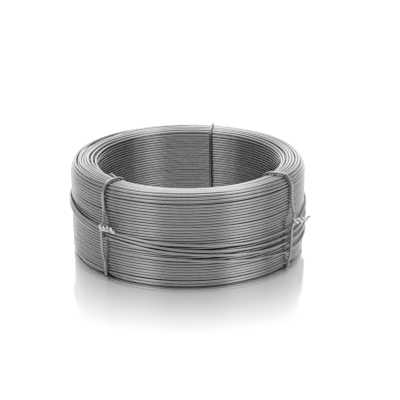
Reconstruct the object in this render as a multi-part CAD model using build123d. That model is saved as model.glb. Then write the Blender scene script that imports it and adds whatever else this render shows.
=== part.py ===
from build123d import *
from math import copysign, cos, floor, hypot, pi, radians, sin, sqrt, tan
import os

# A coil of galvanized steel wire that stands on its end, bound by three tie wires.
# Millimetres, +Z up, with the origin on the floor at the middle of the bore.

# The coil
wire_diameter = 2.2
coil_bore_radius = 76.2
coil_wall = 21.3
coil_height = 77.4

# Its edges: how far each reaches across the end and along the wall, and the flat that a turn rests on
top_outer_run = 6.2
top_outer_drop = 10.3
top_inner_run = 9.3
top_inner_drop = 4.9
foot_run = 3.3
foot_rise = 3.3
foot_flat = 0.9

# How far round a top edge the end's turns go, in degrees, before the wall takes over
top_edge_sweep = 70

# How many turns lie close together between two grooves, on the wall, in the bore and on the foot
wall_band_turns = 5
bore_band_turns = 8
foot_band_turns = 2

# The loose outer turns, which lie on the layer under them
loose_turns = 3
loose_bottom = 21.5
loose_top = 48.5
loose_height = 2.2

# The tie wires, drawn with flat sides
tie_diameter = 2.2
tie_sides = 6
tie_clearance = 0.1
tie_floor_gap = 0.1
tie_bend_radius = 4.4
twist_pitch = 8.4
twist_turns = 1.5
twist_sides = 6

# How far a cut runs past the metal
cut_overrun = 5.0

# Each tie's place round the coil, its knot's place up the loose turns, and how far its pigtail
# lifts off the wall and rises, in degrees. An angle of 0 faces the front, and right is positive.
ties = {
    "tie_wire_front_left": {"angle": -41.8, "knot_share": 0.79, "lift": 2.0, "rise": 6.0},
    "tie_wire_front_right": {"angle": 56.8, "knot_share": 0.64, "lift": 20.0, "rise": 6.0},
    "tie_wire_back": {"angle": 164.0, "knot_share": 0.70, "lift": 6.0, "rise": -4.0},
}

wire_radius = wire_diameter / 2
foot_band_flat = (foot_band_turns - 1) * wire_diameter + foot_flat
coil_outer_radius = coil_bore_radius + coil_wall
loose_radius = coil_outer_radius + loose_height

# The flat-sided tie has as much metal in its section as the round wire, so its corners stand out a little
tie_radius = tie_diameter / 2 * sqrt(2 * pi / (tie_sides * sin(2 * pi / tie_sides)))

# The tie's middle line, as it lies on the loose turns, and the axis that its ends twist about
tie_standoff = tie_radius + tie_clearance
tie_wall_radius = loose_radius + tie_standoff
tie_floor_height = tie_floor_gap + tie_radius
twist_steps = round(twist_turns * twist_sides)
twist_radius = tie_standoff / cos(pi / twist_sides)
twist_axis_radius = tie_wall_radius + twist_radius


def top_line():
    """Line through the wires' middles over the top of the coil, from the bore to the outer wall."""
    inner_edge = EllipticalCenterArc(
        (coil_bore_radius + top_inner_run, coil_height - top_inner_drop),
        top_inner_run - wire_radius,
        top_inner_drop - wire_radius,
        start_angle=90 + top_edge_sweep,
        arc_size=-top_edge_sweep,
    )
    outer_edge = EllipticalCenterArc(
        (coil_outer_radius - top_outer_run, coil_height - top_outer_drop),
        top_outer_run - wire_radius,
        top_outer_drop - wire_radius,
        start_angle=90,
        arc_size=-top_edge_sweep,
    )
    flat = Line(inner_edge @ 1, outer_edge @ 0)
    return Wire([inner_edge.edge(), flat.edge(), outer_edge.edge()])


def foot_line():
    """Line through the wires' middles over the foot, from the outer wall to the bore."""
    return Line(
        (coil_outer_radius - foot_run - foot_band_flat / 2, wire_radius),
        (coil_bore_radius + foot_run + foot_band_flat / 2, wire_radius),
    )


def turns_outline(line, band_turns, flat):
    """Outline of the turns along a line, one by one or in bands: each rises to a ridge, or a flat."""
    last = floor(line.length / (band_turns * wire_diameter))
    middles = [line.position_at(turn / last) for turn in range(last + 1)]
    outline = []
    for turn in range(last + 1):
        along = line.tangent_at(turn / last)
        crest = middles[turn] + Vector(-along.Y, along.X) * wire_radius
        outline += [crest - along * flat / 2, crest + along * flat / 2] if flat else [crest]
        if turn < last:
            outline.append((middles[turn] + middles[turn + 1]) / 2)
    return outline


def bands_outline(radius, groove_radius, band_turns, start, stop):
    """Outline of a wall from one height to another: bands of close turns with a groove between two bands."""
    bands = round(abs(stop - start) / (band_turns * wire_diameter))
    half_groove = copysign(wire_radius, stop - start)
    outline = [(radius, start)]
    for band in range(1, bands):
        middle = start + (stop - start) * band / bands
        outline += [(radius, middle - half_groove), (groove_radius, middle), (radius, middle + half_groove)]
    return outline + [(radius, stop)]


def loose_outline():
    """Outline of the loose turns from the highest to the lowest: each is a ridge on the wall."""
    highest = loose_top - wire_radius
    lowest = loose_bottom + wire_radius
    outline = []
    for turn in range(loose_turns):
        middle = highest + (lowest - highest) * turn / (loose_turns - 1)
        outline += [
            (coil_outer_radius, middle + wire_radius),
            (loose_radius, middle),
            (coil_outer_radius, middle - wire_radius),
        ]
    return outline


def make_coil():
    """The coil as one turned body, with its turns on both ends and its grooves and loose turns on the walls."""
    wall_top = coil_height - top_outer_drop
    bore_top = coil_height - top_inner_drop
    wall_form = (coil_outer_radius, coil_outer_radius - wire_radius, wall_band_turns)
    bore_form = (coil_bore_radius, coil_bore_radius + wire_radius, bore_band_turns)
    upper_wall = bands_outline(*wall_form, wall_top, loose_top)
    lower_wall = bands_outline(*wall_form, loose_bottom, foot_rise)
    wall = upper_wall[:-1] + loose_outline() + lower_wall[1:]
    bore = bands_outline(*bore_form, foot_rise, bore_top)
    top = turns_outline(top_line(), 1, 0)
    foot = turns_outline(foot_line(), foot_band_turns, foot_band_flat)
    section = make_face(Polyline(*top, *wall, *foot, *bore, close=True))
    return revolve(Plane.XZ * section, Axis.Z)


def tie_place(angle):
    """Place of a tie: X points out of the coil, and Y along its wall to the right."""
    return Rotation(0, 0, angle - 90)


def make_tie_seat():
    """Space under the foot that the tie's pull has pressed into the turns."""
    inner_bend = tie_bend_radius - tie_standoff
    seat_height = tie_floor_height + tie_standoff
    kept_width = coil_outer_radius - coil_bore_radius + 2 * tie_clearance
    middle_radius = (coil_outer_radius + coil_bore_radius) / 2
    space_height = seat_height + inner_bend + cut_overrun
    space = Pos(middle_radius, space_height / 2 - cut_overrun) * Rectangle(
        kept_width + 2 * cut_overrun, space_height
    )
    kept = Pos(middle_radius, seat_height + coil_height / 2) * RectangleRounded(
        kept_width, coil_height, inner_bend
    )
    return extrude(Plane.XZ * (space - kept), tie_standoff, both=True)


def edge_corners(run, drop):
    """Two corners of a tie that passes over a rounded edge, from the middle of the edge's ellipse."""
    reach = sqrt(2) + tie_standoff * hypot(1 / run, 1 / drop)
    low = (run + tie_standoff, drop * (reach - (run + tie_standoff) / run))
    high = (run * (reach - (drop + tie_standoff) / drop), drop + tie_standoff)
    return low, high


def strand_points(first_phase, knot_height, lift, rise):
    """One end of a tie, twisted about the other in short straight steps, from the wall out."""
    points = []
    for step in range(twist_steps + 1):
        turns = step / twist_sides
        phase = radians(first_phase + 360 * turns)
        corner = Vector(sin(phase) * twist_radius, turns * twist_pitch, cos(phase) * twist_radius)
        leaned = corner.rotate(Axis.Z, -lift).rotate(Axis.X, rise)
        points.append(Vector(twist_axis_radius, 0, knot_height) + leaned)
    return points


def tie_points(knot_share, lift, rise):
    """Corners of a tie from one cut end, round the section of the coil, to the other cut end."""
    knot_height = loose_bottom + knot_share * (loose_top - loose_bottom)
    outer_low, outer_high = edge_corners(top_outer_run, top_outer_drop)
    inner_low, inner_high = edge_corners(top_inner_run, top_inner_drop)
    outer_middle = Vector(coil_outer_radius - top_outer_run, 0, coil_height - top_outer_drop)
    inner_middle = Vector(coil_bore_radius + top_inner_run, 0, coil_height - top_inner_drop)
    loop = [
        Vector(tie_wall_radius, 0, loose_top),
        outer_middle + Vector(outer_low[0], 0, outer_low[1]),
        outer_middle + Vector(outer_high[0], 0, outer_high[1]),
        inner_middle + Vector(-inner_high[0], 0, inner_high[1]),
        inner_middle + Vector(-inner_low[0], 0, inner_low[1]),
        Vector(coil_bore_radius - tie_standoff, 0, tie_floor_height),
        Vector(coil_outer_radius + tie_standoff, 0, tie_floor_height),
        Vector(tie_wall_radius, 0, loose_bottom),
    ]
    upper_end = strand_points(0, knot_height, lift, rise)
    lower_end = strand_points(180, knot_height, lift, rise)
    return upper_end[::-1] + loop + lower_end


def bend_radii(points):
    """Radius of the bend at each corner, sharp in the twist: the tie's own, or what a short run allows."""
    run_share = 0.45
    sharp = [0] * (twist_steps - 1)
    bends = points[twist_steps - 1 : 1 - twist_steps]
    radii = []
    for before, corner, after in zip(bends, bends[1:], bends[2:]):
        arriving = corner - before
        leaving = after - corner
        half_turn = radians(arriving.get_angle(leaving) / 2)
        room = run_share * min(arriving.length, leaving.length) / tan(half_turn)
        radii.append(min(tie_bend_radius, room))
    return sharp + radii + sharp


def make_tie(angle, knot_share, lift, rise):
    """One tie: a single wire, drawn round the coil's section, with its ends twisted together."""
    points = tie_points(knot_share, lift, rise)
    path = FilletPolyline(*points, radius=bend_radii(points))
    start = Plane(origin=path @ 0, z_dir=path % 0)
    section = start * RegularPolygon(tie_radius, tie_sides)
    return tie_place(angle) * sweep(section, path, transition=Transition.RIGHT)


os.makedirs("parts", exist_ok=True)

coil = make_coil()
seat = make_tie_seat()
for tie in ties.values():
    coil -= tie_place(tie["angle"]) * seat
export_step(coil, "parts/wire_coil.step")

for name, tie in ties.items():
    export_step(make_tie(**tie), f"parts/{name}.step")
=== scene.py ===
# %% [markdown]
# # A coil of galvanized wire
#
# The real object is one long zinc-coated steel wire, wound into a round coil that stands on its end,
# with three short tie wires twisted round it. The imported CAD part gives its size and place, and this
# lesson dresses that part wire by wire. It starts by loading the part, because every later piece is
# placed in its frame: metres, Z up, and the origin on the floor in the middle of the bore.

import math

import bpy
import numpy as np
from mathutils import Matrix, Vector


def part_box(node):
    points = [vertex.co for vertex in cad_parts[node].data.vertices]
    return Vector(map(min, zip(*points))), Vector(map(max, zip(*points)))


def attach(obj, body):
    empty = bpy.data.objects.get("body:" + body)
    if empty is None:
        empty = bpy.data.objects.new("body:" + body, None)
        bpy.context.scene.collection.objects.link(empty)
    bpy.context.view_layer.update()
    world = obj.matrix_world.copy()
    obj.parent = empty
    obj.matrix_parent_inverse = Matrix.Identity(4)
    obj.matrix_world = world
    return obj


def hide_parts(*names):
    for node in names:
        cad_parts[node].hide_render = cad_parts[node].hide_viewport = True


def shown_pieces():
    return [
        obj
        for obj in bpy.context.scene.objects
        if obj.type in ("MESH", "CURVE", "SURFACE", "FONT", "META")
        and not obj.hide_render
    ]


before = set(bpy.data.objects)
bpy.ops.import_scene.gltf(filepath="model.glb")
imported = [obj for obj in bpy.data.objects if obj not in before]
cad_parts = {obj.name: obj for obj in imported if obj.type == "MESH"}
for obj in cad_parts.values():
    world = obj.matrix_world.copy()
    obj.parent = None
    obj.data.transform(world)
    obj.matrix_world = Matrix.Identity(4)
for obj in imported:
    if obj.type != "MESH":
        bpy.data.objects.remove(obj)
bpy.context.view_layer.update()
coil_low, coil_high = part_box("wire_coil")
print("nodes:", sorted(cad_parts))

# %% [markdown]
# ## The section of the coil
#
# Cut the coil open and its section is a fat rounded bar: a straight outer wall, a domed top, a straight
# bore, and a foot whose outer edge slants up and leaves a dark gap above the table. The wires that can be
# seen all lie along the outline of that bar. So the outline is drawn once, as a line through the middles
# of the wires, in millimetres from the axis and from the floor. A mesh primitive could not carry the
# wires, but a line that knows its own length can.

# %% Draw the line through the wires' middles
mm = 0.001
wire = 2.2
half_wire = wire / 2
coil_wall = 21.3
height = (coil_high.z - coil_low.z) / mm
loose_radius = coil_high.x / mm
wall_radius = loose_radius - wire
bore_radius = wall_radius - coil_wall
top_outer_run, top_outer_drop = 6.2, 10.3
top_inner_run, top_inner_drop = 9.3, 4.9
inner_foot_edge = 3.3
outer_foot_run, outer_foot_rise = 7.5, 2.2
edge_points = 60
straight_points = 200


def edge_curve(middle, run, rise, start, stop):
    """Quarter of an ellipse in the section, from one angle to another."""
    angle = np.radians(np.linspace(start, stop, edge_points))
    return np.column_stack([middle[0] + run * np.cos(angle), middle[1] + rise * np.sin(angle)])


def straight(start, stop):
    """Straight run in the section."""
    return np.linspace(start, stop, straight_points)


wall_line = straight(
    (wall_radius - half_wire, outer_foot_rise), (wall_radius - half_wire, height - top_outer_drop)
)
outer_edge = edge_curve(
    (wall_radius - top_outer_run, height - top_outer_drop),
    top_outer_run - half_wire,
    top_outer_drop - half_wire,
    0,
    90,
)
inner_edge = edge_curve(
    (bore_radius + top_inner_run, height - top_inner_drop),
    top_inner_run - half_wire,
    top_inner_drop - half_wire,
    90,
    180,
)
foot_bend = inner_foot_edge - half_wire
inner_foot = edge_curve((bore_radius + inner_foot_edge, inner_foot_edge), foot_bend, foot_bend, 180, 270)
outer_foot = straight((wall_radius - outer_foot_run, half_wire), wall_line[0])
stretches = {
    "wall": wall_line,
    "top": np.concatenate([outer_edge, straight(outer_edge[-1], inner_edge[0])[1:-1], inner_edge]),
    "bore": straight(inner_edge[-1], inner_foot[0]),
    "foot": np.concatenate([inner_foot, straight(inner_foot[-1], outer_foot[0])[1:-1], outer_foot]),
}
print("section:", {name: len(line) for name, line in stretches.items()}, "points")

# %% [markdown]
# ## Room along the line
#
# Wires that touch lie one wire thickness apart, but round a tight edge the straight distance between two
# wires is shorter than the line between them. The line is therefore measured in room for wires: it counts
# a little less where it bends. After that one number says where a wire sits, and which way is outwards.

# %% Measure the line
same_place = 1e-6
sharpest_bend = 1.6
smoothing_places = 9

# A chord across an arc of so many radians is shorter than the arc by the square of that over 24
chord_divisor = 24


def steps_between(points):
    """Distance from each point to the next."""
    return np.linalg.norm(np.diff(points, axis=0), axis=1)


def moved_on(points):
    """True for each point that lies apart from the one before it."""
    return np.concatenate([[True], steps_between(points) > same_place])


def length_so_far(steps):
    """Distance from the start to each point, from the steps between the points."""
    return np.concatenate([[0], np.cumsum(steps)])


stretch_lines = list(stretches.values())
section = np.concatenate(stretch_lines + [wall_line])
line_starts = np.cumsum([0] + [len(line) for line in stretch_lines])
kept = moved_on(section)
kept_so_far = np.cumsum(kept)
section = section[kept]

step = steps_between(section)
heading = np.unwrap(np.arctan2(np.diff(section[:, 1]), np.diff(section[:, 0])))
bend = np.abs(np.gradient(heading)) / step
shortened = np.minimum(bend * wire, sharpest_bend) ** 2 / chord_divisor
room = length_so_far(step * (1 - shortened))
heading = np.concatenate([heading, heading[-1:]])
shifts = np.linspace(-wire, wire, smoothing_places)
heading = np.mean([np.interp(room + shift, room, heading) for shift in shifts], axis=0)
stretch_ends = [room[kept_so_far[start] - 1] for start in line_starts]
room_of = dict(zip(stretches, zip(stretch_ends, stretch_ends[1:])))


def section_place(distance, sink):
    """Radius and height of a wire's middle at a distance along the line, sunk into the coil by sink."""
    out = np.interp(distance, room, heading) - math.pi / 2
    radius = np.interp(distance, room, section[:, 0]) - sink * np.cos(out)
    level = np.interp(distance, room, section[:, 1]) - sink * np.sin(out)
    return radius, level, out


print("room for wires:", {name: round((b - a) / wire, 1) for name, (a, b) in room_of.items()})

# %% [markdown]
# ## How the turns lie
#
# No winder lays a wire perfectly: some turns sink between their neighbours, some stand apart, and the
# coil shows it as fine dark lines. Moving every turn by plain random noise would push wires into each
# other. Here each turn gets a depth that wanders slowly along its length, and the room that two
# neighbours need follows from their depths. This step counts the turns, from under the left tie on, and
# makes the noise. It is seeded, so that each run winds the same coil.

# %% Count the turns and make smooth noise
steps_a_turn = 160
turns_in = {"wall": 28, "top": 11, "bore": 31, "foot": 9}
tie_angles = {"tie_wire_front_left": -41.8, "tie_wire_front_right": 56.8, "tie_wire_back": 164.0}
first_angle = tie_angles["tie_wire_front_left"]
total_turns = sum(turns_in.values())
column = np.arange(steps_a_turn + 1) / steps_a_turn
turn = np.arange(total_turns + 2)[:, None] + column[None, :]
angle_of = first_angle + 360 * column


def ease(share):
    """Smooth step from 0 to 1."""
    return share * share * (3 - 2 * share)


def wander(turns, spacing, seed):
    """Smooth noise from -1 to 1 along the wire, with a new value each so many turns."""
    values = np.random.default_rng(seed).uniform(-1, 1, int(np.max(turns) / spacing) + 3)
    place = turns / spacing
    before = np.floor(place).astype(int)
    share = ease(place - before)
    return values[before] * (1 - share) + values[before + 1] * share


def window(angle, middle, reach):
    """1 at an angle round the coil, falling smoothly to 0 at reach degrees from it."""
    away = np.abs((angle - middle + 180) % 360 - 180) / reach
    return np.where(away < 1, np.cos(np.minimum(away, 1) * math.pi / 2) ** 2, 0)


print(total_turns, "turns of", steps_a_turn, "steps, from", first_angle, "degrees")

# %% [markdown]
# ## Dark lines and deep turns
#
# Noise makes some coil, but not this one. Its strongest dark lines are gaps between two turns. In some
# places a few turns lie deep, and at the left of the top the inner ones stand out in a fan. Painting these
# lines would look right from one side only. They are listed instead, by the turn and the angle
# round the coil where the photograph shows them, with two gaps more behind as a guess, and the winding
# opens there.

# %% List the dark lines and the deep turns
# Dark lines: the stretch, the turn before the gap, the middle angle, how far it reaches, and its strength
dark_lines = [
    ("wall", 0, 0, 120, 0.8),
    ("wall", 1, 0, 70, 2.5),
    ("wall", 9, 8, 30, 2.0),
    ("wall", 10, 48, 25, 5.0),
    ("wall", 12, 20, 60, 5.0),
    ("wall", 13, 10, 40, 1.5),
    ("wall", 13, 120, 60, 3.0),
    ("wall", 13, -150, 60, 3.0),
    ("wall", 18, -62, 28, 4.0),
    ("wall", 20, 40, 32, 3.0),
    ("wall", 23, -45, 28, 3.0),
    ("wall", 23, 42, 32, 3.0),
    ("top", 0, 8, 60, 4.0),
    ("top", 3, -85, 35, 4.0),
    ("top", 4, -115, 35, 4.0),
    ("top", 5, -150, 40, 4.0),
    ("top", 8, -90, 48, 5.0),
    ("top", 9, -88, 48, 5.0),
    ("top", 10, -85, 50, 4.0),
    ("top", 3, 80, 50, 2.5),
    ("top", 5, 85, 50, 2.5),
    ("top", 8, 95, 60, 6.0),
    ("top", 10, 180, 70, 1.5),
    ("bore", 0, 142, 42, 5.0),
    ("bore", 14, 172, 60, 3.0),
]

# Turns that lie deep, or stand out: the stretch, the turn, the middle angle, how far it reaches, the depth
deep_turns = [
    ("wall", 10, 48, 22, 0.8),
    ("wall", 11, 48, 22, 0.8),
    ("wall", 17, -62, 28, 1.0),
    ("wall", 18, -62, 28, 1.6),
    ("wall", 19, -62, 26, 0.8),
    ("top", 4, -85, 32, 1.6),
    ("top", 5, -122, 30, 1.6),
    ("top", 6, -155, 32, 1.4),
    ("top", 6, -92, 34, 1.1),
    ("top", 7, -96, 40, 1.2),
    ("top", 9, -90, 60, -0.5),
    ("top", 10, -90, 60, -1.0),
    ("bore", 0, -90, 60, -1.4),
    ("bore", 1, -90, 55, -1.0),
    ("bore", 2, -90, 50, -0.5),
]
print(len(dark_lines), "dark lines,", len(deep_turns), "places where a turn lies deep or stands out")

# %% [markdown]
# ## Depth and gaps
#
# Each turn now gets two values at every step round the coil: how deep it lies, and how large a share of
# the spare room the gap after it takes. Noise gives the ground, and the two lists add to it. Where a tie
# passes under the foot it has pulled the turns in, so they sink there and the tie finds its bed.

# %% Say how deep the turns lie and where the gaps open
# How many millimetres the noise may sink a turn, and how far it leans to the deep side
depth_in = {"wall": 0.35, "top": 0.35, "bore": 0.30, "foot": 0.30}
more_deep = 0.3

# The least weight of a gap, and the turns from one value of each noise to the next, with its seed
least_gap = 0.3
gap_spacing, gap_seed = 0.31, 11
depth_spacing, depth_seed = 0.23, 5

# How many millimetres a tie presses the foot in, over how many degrees, and how much this eases at its edges
tie_press = 2.5
press_reach = 6
press_eases = 0.4

first_turn = {}
depth_turns = []
row = 0
for name, count in turns_in.items():
    first_turn[name] = row
    depth_turns += [row + 1, row + count - 1]
    row += count

weight = least_gap + np.maximum(wander(turn, gap_spacing, gap_seed), 0) ** 2
depths = np.interp(turn, depth_turns, np.repeat(list(depth_in.values()), 2))
sink = depths * np.maximum(wander(turn, depth_spacing, depth_seed) + more_deep, 0)

foot_rows = slice(first_turn["foot"], first_turn["foot"] + turns_in["foot"])
across_foot = np.linspace(-1, 1, turns_in["foot"])[:, None]
for angle in tie_angles.values():
    pressed = window(angle_of, angle, press_reach)
    sink[foot_rows] += tie_press * (1 - press_eases * across_foot**4) * pressed
    sink[0] += tie_press / 2 * pressed
for name, before, middle, reach, strength in dark_lines:
    weight[first_turn[name] + before] += strength * window(angle_of, middle, reach)
for name, which, middle, reach, deep in deep_turns:
    sink[first_turn[name] + which] += deep * window(angle_of, middle, reach)
print(f"depths from {sink.min():.2f} to {sink.max():.2f} mm")

# %% [markdown]
# ## Side by side
#
# Two wires of equal depth need one thickness between them, and two of unequal depth need less. Adding up
# what each pair needs leaves some room over on every stretch, and the gaps share it by their weights. The
# end of each turn is eased onto the start of the next, so that the wire runs on without a step.

# %% Lay the turns along the line
deepest_step = 0.7 * wire
closing_share = 0.2

depth_steps = np.minimum(np.abs(np.diff(sink, axis=0)), deepest_step)
touching = np.sqrt(wire**2 - depth_steps**2)
pitch = {name: (b - a) / turns_in[name] for name, (a, b) in room_of.items()}
distance = np.zeros((total_turns + 1, steps_a_turn + 1))
names = list(turns_in)
for name, following in zip(names, names[1:] + names[:1]):
    first = first_turn[name]
    last = first + turns_in[name]
    from_here = room_of[name][0] + column * pitch[name]
    to_there = room_of[name][1] + column * pitch[following]
    left_over = to_there - from_here - touching[first:last].sum(axis=0)
    gaps = left_over * weight[first:last] / weight[first:last].sum(axis=0)
    distance[first] = from_here
    distance[first + 1 : last + 1] = from_here + np.cumsum(touching[first:last] + gaps, axis=0)
    print(f"{name}: {turns_in[name]} turns, {left_over.mean():.2f} mm left over for gaps")

closing = ease(np.clip((column - (1 - closing_share)) / closing_share, 0, 1))
distance[:-1] += (distance[1:, :1] - distance[:-1, -1:]) * closing

# %% [markdown]
# ## A wire as a mesh
#
# A curve with a round bevel would be the usual way to draw a wire. Here the mesh is built from arrays:
# a ring of corners at each point, faces from ring to ring, and a flat cap where the wire was cut. Each ring
# then knows how far along the wire it is, which the finish needs.

# %% Build the body of a wire
def unit(vectors):
    """The same directions, each with a length of 1."""
    return vectors / np.linalg.norm(vectors, axis=1)[:, None]


def ring_angles(sides):
    """Angles of a ring's corners. The first faces into the coil, so that the seam of the maps is hidden."""
    return math.pi + np.arange(sides) * 2 * math.pi / sides


def wire_body(points, outward, thickness, sides):
    """Corners and faces of a round wire through points, with its two caps as the last faces."""
    along = unit(np.gradient(points, axis=0))
    out = unit(outward - along * (outward * along).sum(axis=1)[:, None])
    across = np.cross(along, out)
    around = ring_angles(sides)
    rings = points[:, None] + thickness / 2 * (
        out[:, None] * np.cos(around)[None, :, None] + across[:, None] * np.sin(around)[None, :, None]
    )
    ring = np.arange(len(points) - 1)[:, None] * sides
    side = np.arange(sides)[None, :]
    following = (side + 1) % sides
    quads = np.stack([ring + side, ring + following, ring + sides + following, ring + sides + side], -1)
    corners = np.arange(len(points) * sides)
    caps = [corners[:sides][::-1].tolist(), corners[-sides:].tolist()]
    return rings.reshape(-1, 3), quads.reshape(-1, 4).tolist() + caps


# %% [markdown]
# ## Two maps for each wire
#
# One UV map holds real lengths, so that the finish can draw its streaks along the wire. The other cuts the
# wire into strips, such as one for each turn, and lays them side by side on a page, with the two caps above
# them. Blender's own unwrapping would cut such a long wire anywhere, and its finish would not bake cleanly.

# %% Lay the maps and make the piece
strip_end_margin = 0.01
strip_side_margin = 0.04
cap_places = (0.25, 0.65)
cap_size = 0.4
just_over = 1e-9


def wire_maps(travelled, strips, thickness, sides):
    """The maps of a wire, corner by corner, from the length travelled at each of its rings."""
    rings = len(travelled)
    place = np.arange(rings) / ((rings - 1) / strips)
    strip = np.minimum(np.floor(place[:-1] + just_over), strips - 1)
    lengths = np.zeros((rings - 1, sides, 4, 2))
    page = np.zeros((rings - 1, sides, 4, 2))
    for corner, (next_ring, next_side) in enumerate([(0, 0), (0, 1), (1, 1), (1, 0)]):
        rings_on = np.arange(rings - 1) + next_ring
        sides_on = (np.arange(sides) + next_side) / sides
        strip_along = (place[rings_on] - strip)[:, None]
        strip_across = strip_side_margin + (1 - 2 * strip_side_margin) * sides_on[None, :]
        lengths[:, :, corner, 0] = travelled[rings_on][:, None] * mm
        lengths[:, :, corner, 1] = sides_on[None, :] * math.pi * thickness * mm
        page[:, :, corner, 0] = strip_end_margin + (1 - 2 * strip_end_margin) * strip_along
        page[:, :, corner, 1] = (strip[:, None] + strip_across) / (strips + 1)

    around = ring_angles(sides)
    cap = np.column_stack([np.cos(around), np.sin(around)])
    cap_lengths = [cap * thickness / 2 * mm + end * mm for end in (0, travelled[-1])]
    cap_level = (strips + 0.5) / (strips + 1)
    cap_page = [(start, cap_level) + cap * cap_size / (strips + 1) for start in cap_places]
    return {
        "wire_length": np.concatenate([lengths.reshape(-1, 2), cap_lengths[0][::-1], cap_lengths[1]]),
        "OFBake": np.concatenate([page.reshape(-1, 2), cap_page[0][::-1], cap_page[1]]),
    }


def round_wire(name, points, outward, strips, thickness=wire, sides=12):
    """A round wire through points, in millimetres. outward turns the seam of its maps to the far side."""
    points = np.asarray(points, float)
    corners, faces = wire_body(points, outward, thickness, sides)
    mesh = bpy.data.meshes.new(name)
    mesh.from_pydata((corners * mm).tolist(), [], faces)
    smooth = np.ones(len(faces), bool)
    smooth[-2:] = False
    mesh.polygons.foreach_set("use_smooth", smooth)

    travelled = length_so_far(steps_between(points))
    for label, spots in wire_maps(travelled, strips, thickness, sides).items():
        layer = mesh.uv_layers.new(name=label)
        layer.uv.foreach_set("vector", spots.astype(np.float32).ravel())

    piece = bpy.data.objects.new(name, mesh)
    bpy.context.scene.collection.objects.link(piece)
    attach(piece, "root")
    triangles = sum(len(face) - 2 for face in faces)
    print(f"{name}: {triangles} triangles, {travelled[-1] * mm:.1f} m of wire")
    return piece


# %% [markdown]
# ## The turns that can be seen
#
# The wire climbs the outer wall, crosses the dome, goes down the bore and comes back under the foot,
# without a break: where one stretch ends, the next begins on the same ring. Each stretch is a piece of its
# own, so that no mesh grows too large, and together they stand for the plain turned solid of the CAD part.

# %% Wind the wall, the top, the bore and the foot
def round_the_coil(angle, radius, level):
    """Points at angles round the coil, in degrees from the front and positive to the right."""
    turned = np.radians(angle)
    return np.column_stack([radius * np.sin(turned), -radius * np.cos(turned), level])


def wound(along, deep, steps):
    """Points, and outward directions, of a wire that is wound on along the section, so many steps a turn."""
    angle = first_angle + 360 * np.arange(len(along)) / steps
    radius, level, out = section_place(along, deep)
    return round_the_coil(angle, radius, level), round_the_coil(angle, np.cos(out), np.sin(out))


coil_pieces = []
for name, count in turns_in.items():
    first = first_turn[name]
    last = first + count
    along = np.concatenate([distance[first:last, :-1].ravel(), distance[last, :1]])
    deep = np.concatenate([sink[first:last, :-1].ravel(), sink[last, :1]])
    points, outward = wound(along, deep, steps_a_turn)
    coil_pieces.append(round_wire(f"coil_{name}_turns", points, outward, strips=count))

# %% [markdown]
# ## The layer underneath
#
# Through the gaps one sees the next layer, which lies in the grooves of the first. It only has to catch a
# little light, so it is the same winding at half the steps, sunk to where the grooves hold it. At the left,
# from the top on, it lies deeper still, because the turns there have parted and show dark between.

# %% Wind the layer underneath
coarse = 2
groove_depth = 0.87 * wire
hollow = 1.6
hollow_angle, hollow_reach = -95, 60

every = slice(0, steps_a_turn, coarse)
between_turns = (distance[:-1, every] + distance[1:, every]) / 2
deep = (sink[:total_turns, every] + sink[1 : total_turns + 1, every]) / 2
deep[first_turn["top"] :] += hollow * window(angle_of[every], hollow_angle, hollow_reach)
points, outward = wound(between_turns.ravel(), deep.ravel() + groove_depth, steps_a_turn // coarse)
coil_pieces.append(round_wire("coil_under_turns", points, outward, strips=total_turns, sides=8))

# %% [markdown]
# ## The loose turns
#
# A few outer turns have slipped out of their layer. They lie on the others, bunched at the left and fanned
# out at the right, and the last of them climbs out of the wall at the front. The photograph shows only
# their front half. Behind, they run together again and go under the back tie. A list of heights round
# the coil holds their path, and a smooth line through it carries the wire.

# %% List the path of the loose turns
# Angle round the coil and height of the wire's middle, from where it leaves the wall to where it goes back
loose_path = [
    (-60, 24.7),
    (-40, 24.9),
    (-20, 24.9),
    (-8, 25.0),
    (5, 23.5),
    (19, 21.1),
    (29, 19.3),
    (38, 18.0),
    (46, 16.4),
    (54, 14.8),
    (66, 14.6),
    (80, 15.9),
    (100, 19.5),
    (130, 25.5),
    (164, 30.5),
    (200, 35.0),
    (240, 38.5),
    (270, 40.9),
    (284, 40.5),
    (300, 37.5),
    (315, 35.1),
    (328, 33.5),
    (344, 31.1),
    (360, 29.1),
    (370, 27.7),
    (381, 25.9),
    (398, 23.9),
    (414, 23.0),
    (430, 22.2),
    (450, 23.6),
    (490, 29.5),
    (524, 33.5),
    (560, 37.7),
    (600, 41.1),
    (630, 43.3),
    (644, 42.9),
    (660, 39.9),
    (675, 37.5),
    (688, 36.5),
    (704, 34.4),
    (720, 32.1),
    (733, 30.7),
    (749, 29.3),
    (765, 28.8),
    (774, 28.8),
    (790, 29.0),
    (810, 31.1),
    (850, 33.5),
    (884, 36.1),
    (920, 40.1),
    (960, 43.5),
    (990, 45.7),
    (1004, 45.3),
    (1020, 42.4),
    (1035, 40.1),
    (1048, 39.1),
    (1064, 37.6),
    (1080, 36.6),
    (1095, 35.1),
    (1110, 33.9),
    (1125, 34.1),
    (1134, 34.3),
    (1146, 35.9),
    (1160, 39.9),
    (1190, 43.1),
    (1260, 45.5),
]
path_angles, path_levels = zip(*loose_path)
print(f"loose turns: {(path_angles[-1] - path_angles[0]) / 360:.1f} times round the coil")

# %% [markdown]
# ## A smooth line through the heights
#
# A spline that overshoots would lift the wire above its neighbours between two listed heights. This one
# leans at each height by the harmonic mean of the slopes on both sides, and lies level where the wire turns
# back, so it stays between the heights. The same line lifts the wire out of the wall and lets it back in.

# %% Lay the loose turns
leaves_at, loose_at = -40, -5
returns_from, returned_at = 1200, 1240
just_past = 0.1

# How far the loose turns have settled between the turns under them
settled = 0.05


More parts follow.
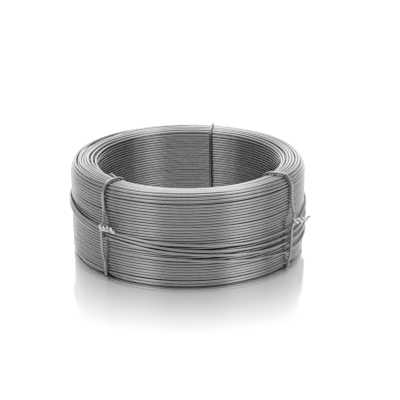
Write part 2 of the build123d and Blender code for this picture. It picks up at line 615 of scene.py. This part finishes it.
def smooth_line(at, values, wanted):
    """A smooth curve through values, with no overshoot between them."""
    at = np.asarray(at, float)
    values = np.asarray(values, float)
    slope = np.diff(values) / np.diff(at)
    lean = np.zeros(len(at))
    same_way = slope[1:] * slope[:-1] > 0
    inside = 2 * slope[1:] * slope[:-1] / np.where(same_way, slope[1:] + slope[:-1], 1)
    lean[1:-1] = np.where(same_way, inside, 0)
    where = np.clip(np.searchsorted(at, wanted) - 1, 0, len(at) - 2)
    width = at[where + 1] - at[where]
    share = (wanted - at[where]) / width
    back = 1 - share
    return (
        values[where] * back * back * (1 + 2 * share)
        + values[where + 1] * share * share * (1 + 2 * back)
        + width * share * back * (lean[where] * back - lean[where + 1] * share)
    )


loose_angle = np.arange(path_angles[0], path_angles[-1] + just_past, 360 / steps_a_turn)
loose_level = smooth_line(path_angles, path_levels, loose_angle)

# At -1 the wire is hidden in the wall, at 0 it lies in the wall's own layer, and at 1 on top of that layer
lift_angles = [path_angles[0], leaves_at, loose_at, returns_from, returned_at, path_angles[-1]]
lifted = smooth_line(lift_angles, [-1, 0, 1, 1, 0, -1], loose_angle)
loose_middle = wall_radius - half_wire + (wire - settled) * lifted
points = round_the_coil(loose_angle, loose_middle, loose_level)
outward = round_the_coil(loose_angle, np.ones_like(loose_angle), np.zeros_like(loose_angle))
coil_pieces.append(round_wire("coil_loose_turns", points, outward, strips=4, sides=14))

# %% [markdown]
# ## The free end
#
# The wire's cut end sticks out from under the left tie, on the inner rim. It is a short piece of the same
# wire, so the same function draws it. Its start is hidden among the turns. With it the coil is complete,
# and its pieces take the place of the CAD coil.

# %% Draw the free end
end_points = 14
end_from, end_to = -36, -52.5
end_radius, end_inwards = 80.6, 3.6
end_level, end_climb = 75.1, 1.6

end_angle = np.linspace(end_from, end_to, end_points)
end_share = np.linspace(0, 1, end_points)
points = round_the_coil(end_angle, end_radius - end_inwards * end_share, end_level + end_climb * end_share)
outward = round_the_coil(end_angle, np.zeros_like(end_angle), np.ones_like(end_angle))
coil_pieces.append(round_wire("coil_wire_end", points, outward, strips=1))
for piece in coil_pieces:
    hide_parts("wire_coil")

# %% [markdown]
# ## The tie wires
#
# Each tie is a single wire, drawn round the section of the coil, with its two ends twisted together on
# the outer wall. The CAD ties have flat sides to stay light. Here corners steer a smooth spline, and a
# round wire follows it, so that the bends and the twist look bent by hand and pliers.

# %% Bend a smooth line from corner points
spline_points = 12
point_spacing = 0.7


def bent_line(corners):
    """Points, evenly spaced, on the smooth spline that the corners steer."""
    corners = np.asarray(corners, float)
    padded = np.concatenate([corners[:1], corners, corners[-1:]])
    share = np.linspace(0, 1, spline_points, endpoint=False)[:, None]
    runs = [
        0.5 * ((1 - share) ** 2 * a + (1 + 2 * share - 2 * share**2) * b + share**2 * c)
        for a, b, c in zip(padded, padded[1:], padded[2:])
    ]
    line = np.concatenate(runs + [corners[-1:]])
    line = line[moved_on(line)]
    length = length_so_far(steps_between(line))
    even = np.linspace(0, length[-1], int(length[-1] / point_spacing) + 1)
    return np.column_stack([np.interp(even, length, line[:, axis]) for axis in range(3)])


# %% [markdown]
# ## The knots
#
# Pliers twist the two ends of a tie about each other, so each end is a helix about a common line, half a
# turn apart from the other. The line leaves the wall to the right, lifts off it, and may rise or drop. No
# two knots are alike, so each has values of its own: those of the front two follow the photograph, where
# one end is longer than the other, and those of the back one are a guess.

# %% Twist the ends of a tie
tie_gap = 0.12
tie_out = half_wire + tie_gap
twist_pitch = 8.4
twist_step = 0.1
twist_grip = 1.3 * half_wire

# The height of each knot, the height from which the tie bears on loose turns, how far the pigtail lifts off
# the wall and rises, in degrees, how many turns each end makes about the other, and how far the tie has
# slipped round the coil, in degrees, at the foot, below and above the knot and at both edges of the top
tie_bends = {
    "tie_wire_front_left": {
        "knot": 42.8,
        "bears_from": 20.0,
        "lift": 2.0,
        "rise": 6.0,
        "twists": (1.1, 2.0),
        "slips": {"foot": 0.2, "below": -0.4, "above": 0.8, "outer": -0.3, "inner": 0.0},
    },
    "tie_wire_front_right": {
        "knot": 40.4,
        "bears_from": 12.0,
        "lift": 29.0,
        "rise": 0.0,
        "twists": (2.0, 1.1),
        "slips": {"foot": -2.0, "below": -2.2, "above": 0.4, "outer": -0.3, "inner": -4.0},
    },
    "tie_wire_back": {
        "knot": 40.4,
        "bears_from": 28.0,
        "lift": 6.0,
        "rise": -4.0,
        "twists": (1.5, 1.5),
        "slips": {"foot": 0.0, "below": 0.0, "above": 0.0, "outer": 2.5, "inner": 0.6},
    },
}


def twisted_end(first_phase, turns, knot, lift, rise):
    """Corners of one end of a tie as it winds about the other, leaving the wall along +Y."""
    turned = np.arange(0, turns + twist_step / 10, twist_step)
    phase = np.radians(first_phase) + 2 * math.pi * turned
    sideways = twist_grip * np.sin(phase)
    upward = twist_grip * np.cos(phase)
    onward = turned * twist_pitch
    lift = math.radians(lift)
    rise = math.radians(rise)
    outward = sideways * math.cos(lift) + onward * math.sin(lift)
    onward = onward * math.cos(lift) - sideways * math.sin(lift)
    climbed = onward * math.sin(rise) + upward * math.cos(rise)
    onward = onward * math.cos(rise) - upward * math.sin(rise)
    return np.column_stack([loose_radius + tie_out + twist_grip + outward, onward, knot + climbed])


print("turns in each knot:", {name: bends["twists"] for name, bends in tie_bends.items()})

# %% [markdown]
# ## Round the section
#
# From its knot a tie goes up the wall, over the dome on the backs of the turns, down the bore, under the
# foot, and up the wall again over the loose turns. The part over the dome follows the same line that carries
# the turns, raised by one wire and a small gap. The rest needs only a corner where the wire changes its way.

# %% Bend the three ties
# Millimetres, apart from the two kinds of share
floor_gap = 0.1
tie_floor = floor_gap + half_wire
bore_slack = 0.5
top_corners = 14
above_knot, below_knot = 3.5, 5
wall_from, wall_climb = 5, 16
wall_shares = (0.5, 0.9)
bore_levels = (55, 35, 15, 6, 3.4)
foot_corner = 0.3
foot_inset = 2
wall_foot = 4.5
bearing_run = 6
bearing_share = 0.7


def tie_corners(knot, bears_from, lift, rise, twists, slips):
    """Corners of a tie from one cut end to the other. X points out of the coil and Y to the right."""
    slip = {place: wall_radius * math.radians(degrees) for place, degrees in slips.items()}
    on_wall = wall_radius + tie_out
    on_loose = loose_radius + tie_out
    in_bore = bore_radius - tie_out - bore_slack

    loop = [(on_loose, slip["above"], knot + above_knot)]
    for share in wall_shares:
        sideways = slip["above"] + (slip["outer"] - slip["above"]) * share
        loop.append((on_wall, sideways, knot + wall_from + wall_climb * share))

    over = np.linspace(*room_of["top"], top_corners)[1:]
    over_radius, over_level, _ = section_place(over, -(wire + tie_gap))
    over_slip = np.linspace(slip["outer"], slip["inner"], len(over)) * over_radius / wall_radius
    loop += list(zip(over_radius, over_slip, over_level))

    bore_foot = slip["foot"] * bore_radius / wall_radius
    for level in bore_levels:
        loop.append((in_bore, bore_foot + (over_slip[-1] - bore_foot) * level / height, level))

    bearing_slip = slip["foot"] + (slip["below"] - slip["foot"]) * bearing_share
    loop += [
        (in_bore + foot_corner, bore_foot, tie_floor + foot_corner),
        (bore_radius + foot_inset, bore_foot, tie_floor),
        (wall_radius - foot_inset, slip["foot"], tie_floor),
        (on_wall - foot_corner, slip["foot"], tie_floor + foot_corner),
        (on_wall, slip["foot"], wall_foot),
        (on_wall, bearing_slip, bears_from - bearing_run),
        (on_loose, slip["below"], bears_from),
        (on_loose, slip["below"], knot - below_knot),
    ]
    upper, lower = [
        twisted_end(phase, turns, knot, lift, rise) + (0, slip["below"], 0)
        for phase, turns in zip((0, 180), twists)
    ]
    return np.concatenate([upper[::-1], np.array(loop), lower])


for name, bends in tie_bends.items():
    path = bent_line(tie_corners(**bends))
    outward = path - path.mean(axis=0)
    swing = math.radians(tie_angles[name] - 90)
    turn_to = np.array(
        [
            [math.cos(swing), math.sin(swing), 0],
            [-math.sin(swing), math.cos(swing), 0],
            [0, 0, 1],
        ]
    )
    piece = round_wire(f"{name}_bent", path @ turn_to, outward @ turn_to, strips=6)
    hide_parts(name)

# %% [markdown]
# ## Writing shader maths as Python
#
# A finish is a net of nodes, and a net is hard to read in code. This small class wraps a socket, so that
# an expression such as 1 - mask * 0.3 adds its own Math nodes. Every other node comes from one method that
# sets the node's options first and then fills its sockets with numbers or links.

# %% A class for sockets
class Signal:
    """An output socket in a node tree that takes part in Python expressions."""

    def __init__(self, tree, socket):
        self.tree = tree
        self.socket = socket

    def other(self, label):
        """Another output of the same node."""
        return Signal(self.tree, self.socket.node.outputs[label])

    def maths(self, operation, first, second):
        """A Math node for numbers, or a Vector Math node where a vector takes part."""
        kinds = [value.socket.type for value in (first, second) if isinstance(value, Signal)]
        kind = "ShaderNodeVectorMath" if "VECTOR" in kinds else "ShaderNodeMath"
        return self.tree.node(kind, {"operation": operation}, {0: first, 1: second})

    def __add__(self, more):
        return self.maths("ADD", self, more)

    __radd__ = __add__

    def __sub__(self, less):
        return self.maths("SUBTRACT", self, less)

    def __rsub__(self, more):
        return self.maths("SUBTRACT", more, self)

    def __mul__(self, times):
        return self.maths("MULTIPLY", self, times)

    __rmul__ = __mul__


class Nodes:
    """A node tree that is built by calls."""

    def __init__(self, owner):
        owner.use_nodes = True
        self.tree = owner.node_tree
        self.tree.nodes.clear()

    def node(self, kind, settings=None, sockets=None, output=0):
        """Adds a node, sets its options, then gives its sockets their values or links."""
        made = self.tree.nodes.new(kind)
        for label, value in (settings or {}).items():
            setattr(made, label, value)
        for label, value in (sockets or {}).items():
            if isinstance(value, Signal):
                self.tree.links.new(value.socket, made.inputs[label])
            else:
                made.inputs[label].default_value = value
        found = made.outputs[output] if made.outputs else None
        return Signal(self, found)


# %% [markdown]
# ## Four nodes that repeat
#
# The zinc, the table and the room all need a few nodes again and again: noise, a blend of two colours, a
# smooth fade, and a distance. Written out each time they would hide the idea of a finish. So each gets a
# short function with a plain name, on top of the one method that makes nodes.

# %% Name the nodes that repeat
def noise(nodes, place, scale, detail, roughness=0.5):
    """Noise from 0 to 1 at a place."""
    sockets = {"Vector": place, "Scale": scale, "Detail": detail, "Roughness": roughness}
    return nodes.node("ShaderNodeTexNoise", {}, sockets)


def blend(nodes, share, first, second):
    """A colour between two colours."""
    settings = {"data_type": "RGBA", "clamp_factor": True}
    return nodes.node("ShaderNodeMix", settings, {0: share, 6: first, 7: second}, output=2)


def between(nodes, value, low, high, start=0.0, stop=1.0):
    """A number that goes smoothly from start to stop while a value goes from low to high."""
    return nodes.node(
        "ShaderNodeMapRange",
        {"interpolation_type": "SMOOTHSTEP"},
        {"Value": value, "From Min": low, "From Max": high, "To Min": start, "To Max": stop},
    )


def distance_from(nodes, place):
    """How far a place lies from the origin."""
    return nodes.node("ShaderNodeVectorMath", {"operation": "LENGTH"}, {0: place}, output="Value")


# %% [markdown]
# ## The zinc
#
# Hot-dip zinc on drawn wire is a satin grey metal. It does not cover evenly: the bath leaves patches
# that are a little lighter or duller, the wiping leaves faint streaks along the wire, and one length of it
# is brighter than the next. So the colour and the roughness follow noises, in patches and drawn out along
# the wire, and a fine bump breaks the highlight. The knots get a painted highlight: a much lighter colour
# that stands in for the light their outer parts catch, together with a little wear from the pliers. A mask
# by the distance from the coil's axis finds them, because only they stand so far out. The metal itself is
# one number, so it is set on the shader's own socket.

# %% Make the zinc finishes
dark_zinc = (0.27, 0.273, 0.276, 1)
bright_zinc = (0.44, 0.443, 0.446, 1)
# The lighter colour painted on the knots as a highlight, with a little pliers wear
knot_highlight_zinc = (0.74, 0.742, 0.744, 1)
patch_tone, streak_tone, batch_tone = 0.2, 0.2, 0.6
patch_dulls, streak_dulls = 0.06, 0.04
streak_relief, grain_relief = 0.6, 0.4
streak_scale = (45.0, 900.0, 1.0)
batch_scale = (2.2, 0.0, 1.0)
level_part = (1.0, 1.0, 0.0)
# How much of the painted knot highlight remains where the streaks are dark, and over how many metres it
# fades in
least_highlight = 0.5
highlight_width = 0.0016

# Metres from the axis: only the knots stand further out than the first, and no wire as far as the second
knots_from = 0.1023
out_of_reach = 0.2


def zinc(name, dull, highlight_from):
    """A galvanized finish, with dull as its middle roughness, and a painted highlight with a little pliers
    wear from a distance off the axis.
    """
    material = bpy.data.materials.new(name)
    nodes = Nodes(material)
    length = nodes.node("ShaderNodeUVMap", {"uv_map": "wire_length"})
    place = nodes.node("ShaderNodeTexCoord", output="Object")
    patches = noise(nodes, place, scale=210.0, detail=3.0, roughness=0.6)
    streaks = noise(nodes, length * streak_scale, scale=1.0, detail=4.0, roughness=0.65)
    batches = noise(nodes, length * batch_scale, scale=1.0, detail=1.0)
    grain = noise(nodes, place, scale=2600.0, detail=2.0)

    tone = patches * patch_tone + streaks * streak_tone + batches * batch_tone
    colour = blend(nodes, tone, dark_zinc, bright_zinc)
    from_axis = distance_from(nodes, place * level_part)
    # Painted highlight: the knots' outer parts are coloured lighter, unevenly along the streaks
    highlight_mask = between(nodes, from_axis, highlight_from, highlight_from + highlight_width)
    unevenly = least_highlight + streaks * (1 - least_highlight)
    colour = blend(nodes, highlight_mask * unevenly, colour, knot_highlight_zinc)

    relief = streaks * streak_relief + grain * grain_relief
    bump = nodes.node("ShaderNodeBump", {}, {"Strength": 0.1, "Distance": 0.00005, "Height": relief})
    least_rough = dull - (patch_dulls + streak_dulls) / 2
    rough = least_rough + patches * patch_dulls + streaks * streak_dulls
    shader = nodes.node(
        "ShaderNodeBsdfPrincipled",
        {},
        {"Base Color": colour, "Metallic": 1.0, "Roughness": rough, "Normal": bump},
    )
    nodes.node("ShaderNodeOutputMaterial", {}, {"Surface": shader})
    return material


coil_zinc = zinc("coil_zinc", dull=0.17, highlight_from=out_of_reach)
tie_zinc = zinc("tie_zinc", dull=0.24, highlight_from=knots_from)
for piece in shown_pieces():
    chosen = tie_zinc if piece.name.startswith("tie") else coil_zinc
    piece.data.materials.clear()
    piece.data.materials.append(chosen)

# %% [markdown]
# ## The table
#
# The coil stands on a white table that mirrors it near its foot, and the shine fades outwards. One glossy
# material would mirror the whole room. So a matt and a glossy shader are mixed, and the mix follows the
# distance from the middle: a wide fade, and a narrow one that starts at the foot and darkens it there.

# %% Set the table
table_reach = 4.0
table_corners = [(-1, -1), (1, -1), (1, 1), (-1, 1)]
foot_starts = 0.085

floor_mesh = bpy.data.meshes.new("table")
floor_mesh.from_pydata([(x * table_reach, y * table_reach, 0) for x, y in table_corners], [], [(0, 1, 2, 3)])
table = bpy.data.objects.new("table", floor_mesh)
bpy.context.scene.collection.objects.link(table)

white_table = bpy.data.materials.new("white_table")
nodes = Nodes(white_table)
away = distance_from(nodes, nodes.node("ShaderNodeNewGeometry", output="Position"))
wide_polish = between(nodes, away, low=0.08, high=0.21, start=0.5, stop=0.02)
near_polish = between(nodes, away, low=0.095, high=0.108, start=0.45, stop=0.0)
outside = nodes.node("ShaderNodeMath", {"operation": "GREATER_THAN"}, {0: away, 1: foot_starts})
matt = nodes.node("ShaderNodeBsdfDiffuse", {}, {"Color": (0.93, 0.93, 0.93, 1)})
gloss = nodes.node("ShaderNodeBsdfGlossy", {}, {"Color": (1, 1, 1, 1), "Roughness": 0.1})
mixed = nodes.node("ShaderNodeMixShader", {}, {0: wide_polish + near_polish * outside, 1: matt, 2: gloss})
nodes.node("ShaderNodeOutputMaterial", {}, {"Surface": mixed})
floor_mesh.materials.append(white_table)
print("table:", 2 * table_reach, "m wide")

# %% [markdown]
# ## The room
#
# Metal is nothing but what it reflects, so the studio shapes it. The room is white: its walls grow brighter
# from behind the camera to the far side, where white paper hangs, and the ceiling glows a little. A picture
# of a studio could wrap the scene, but three smooth fades are easier to steer.

# %% Light the room
world = bpy.data.worlds.new("studio")
bpy.context.scene.world = world
nodes = Nodes(world)
towards = nodes.node("ShaderNodeTexCoord", output="Generated")
back = nodes.node("ShaderNodeSeparateXYZ", {}, {0: towards}, output="Y")
walls = between(nodes, back, low=-0.3, high=0.95, start=0.3, stop=0.8)
paper = between(nodes, back, low=0.6, high=1.0, start=0.0, stop=0.7)
ceiling = between(nodes, back.other("Z"), low=0.45, high=1.0, start=0.0, stop=0.6)
lit_room = nodes.node(
    "ShaderNodeBackground", {}, {"Color": (1, 1, 1, 1), "Strength": walls + paper + ceiling}
)
nodes.node("ShaderNodeOutputWorld", {}, {"Surface": lit_room})
print("room: walls, paper and ceiling")

# %% [markdown]
# ## The soft boxes
#
# A soft box at each side makes the two upright bright bands on the wall, and a narrow core before each one
# makes the middle of its band brighter. Three more hang overhead, overhead towards the back, and behind:
# they light the dome, the rim and the table. The camera doesn't see the boxes themselves.

# %% Hang the soft boxes
def soft_box(name, azimuth, elevation, distance, width, tall, power):
    """A soft box that faces the coil, at an angle round it from the camera and above the table."""
    lamp = bpy.data.lights.new(name, "AREA")
    lamp.shape = "RECTANGLE"
    lamp.size = width
    lamp.size_y = tall
    lamp.energy = power
    box = bpy.data.objects.new(name, lamp)
    turned = math.radians(azimuth)
    raised = math.radians(elevation)
    away = Vector(
        (math.sin(turned) * math.cos(raised), -math.cos(turned) * math.cos(raised), math.sin(raised))
    )
    box.location = away * distance
    box.rotation_euler = away.to_track_quat("Z", "Y").to_euler()
    box.visible_camera = False
    bpy.context.scene.collection.objects.link(box)


# Boxes that overlap hang a little apart
far, near = 1.3, 1.29
soft_box("left_box", azimuth=-48, elevation=28, distance=far, width=0.9, tall=0.9, power=1.78)
soft_box("left_core", azimuth=-43, elevation=28, distance=near, width=0.4, tall=0.9, power=0.65)
soft_box("right_box", azimuth=56, elevation=28, distance=far, width=0.9, tall=0.9, power=2.29)
soft_box("right_core", azimuth=52, elevation=28, distance=near, width=0.4, tall=0.9, power=0.85)
soft_box("top_box", azimuth=180, elevation=84, distance=far, width=1.5, tall=1.5, power=5.5)
soft_box("top_back_box", azimuth=180, elevation=62, distance=near, width=1.2, tall=0.7, power=2.6)
soft_box("back_box", azimuth=180, elevation=30, distance=far, width=1.8, tall=0.8, power=1.8)
print("lamps:", [lamp.name for lamp in bpy.data.lights])

# %% [markdown]
# ## The camera
#
# The camera stands where the photographer's did. Its place comes from a fit of the coil's own circles to
# the picture: almost a metre away, 22 degrees above the table, with a long lens. Its aim is a little
# above and beside the middle of the foot, which puts the coil in the same place in the square picture.

# %% Place the camera
view_distance = 0.9756
view_elevation = math.radians(22.26)
aim_down = math.radians(20.2)
aim_right = math.radians(0.634)
sensor_width = 36
focal_pixels = 1139
picture_pixels = 400

camera_data = bpy.data.cameras.new("camera")
camera_data.sensor_width = sensor_width
camera_data.lens = sensor_width * focal_pixels / picture_pixels
camera = bpy.data.objects.new("camera", camera_data)
camera.location = (0, -view_distance * math.cos(view_elevation), view_distance * math.sin(view_elevation))
aim = Vector(
    (
        math.sin(aim_right) * math.cos(aim_down),
        math.cos(aim_right) * math.cos(aim_down),
        -math.sin(aim_down),
    )
)
camera.rotation_euler = aim.to_track_quat("-Z", "Y").to_euler()
bpy.context.scene.collection.objects.link(camera)
bpy.context.scene.camera = camera
bpy.context.scene.view_settings.view_transform = "Standard"
print("lens:", round(camera_data.lens, 1), "mm")
